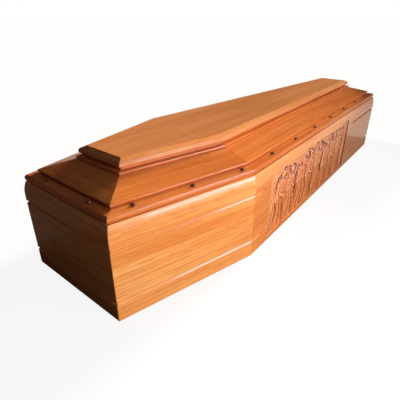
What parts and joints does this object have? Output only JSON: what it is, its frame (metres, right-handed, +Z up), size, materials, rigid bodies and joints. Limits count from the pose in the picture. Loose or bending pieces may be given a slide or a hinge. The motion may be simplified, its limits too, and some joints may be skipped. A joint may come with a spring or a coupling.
{
  "type": "wooden coffin",
  "caption": "Six-sided hollow wooden coffin with a moulded, raised lift-off lid, V-grooved walls, round screw buttons and a carved panel of robed figures in each long side.",
  "frame": {"origin": "centre of the bounding box in plan, on the underside of the walls and floor board", "axes": "+X from the head end to the foot end, +Z up, -Y to the right side of a person lying in it"},
  "size_m": [1.95, 0.623, 0.396],
  "materials": {
    "wall_wood": "orange-stained long-grain boards under high-gloss varnish",
    "lid_wood": "cherry-stained mouldings and boards under high-gloss varnish",
    "top_wood": "cherry-stained flat board, satin to gloss varnish",
    "carved_wood": "carved relief, stained, darker in the hollows, gloss varnish",
    "button_wood": "small turned buttons, darker stain, gloss varnish",
    "inner_wood": "plain unvarnished inner board"
  },
  "bodies": {
    "root": {"floor_board": "inner_wood", "head_board": "wall_wood", "foot_board": "wall_wood", "shoulder_board_right": "wall_wood", "shoulder_board_left": "wall_wood", "long_board_right": "wall_wood", "long_board_left": "wall_wood", "carved_panel_right": "carved_wood", "carved_panel_left": "carved_wood", "top_board": "top_wood", "lid_frame_head": "lid_wood", "slanted_board_head": "lid_wood", "neck_moulding_head": "lid_wood", "button_head_1": "button_wood", "button_head_2": "button_wood", "lid_frame_foot": "lid_wood", "slanted_board_foot": "lid_wood", "neck_moulding_foot": "lid_wood", "button_foot_1": "button_wood", "button_foot_2": "button_wood", "lid_frame_shoulder_right": "lid_wood", "slanted_board_shoulder_right": "lid_wood", "neck_moulding_shoulder_right": "lid_wood", "button_shoulder_right_1": "button_wood", "button_shoulder_right_2": "button_wood", "button_shoulder_right_3": "button_wood", "lid_frame_shoulder_left": "lid_wood", "slanted_board_shoulder_left": "lid_wood", "neck_moulding_shoulder_left": "lid_wood", "button_shoulder_left_1": "button_wood", "button_shoulder_left_2": "button_wood", "button_shoulder_left_3": "button_wood", "lid_frame_long_right": "lid_wood", "slanted_board_long_right": "lid_wood", "neck_moulding_long_right": "lid_wood", "button_long_right_1": "button_wood", "button_long_right_2": "button_wood", "button_long_right_3": "button_wood", "button_long_right_4": "button_wood", "button_long_right_5": "button_wood", "button_long_right_6": "button_wood", "button_long_right_7": "button_wood", "lid_frame_long_left": "lid_wood", "slanted_board_long_left": "lid_wood", "neck_moulding_long_left": "lid_wood", "button_long_left_1": "button_wood", "button_long_left_2": "button_wood", "button_long_left_3": "button_wood", "button_long_left_4": "button_wood", "button_long_left_5": "button_wood", "button_long_left_6": "button_wood", "button_long_left_7": "button_wood"}
  },
  "joints": []
}
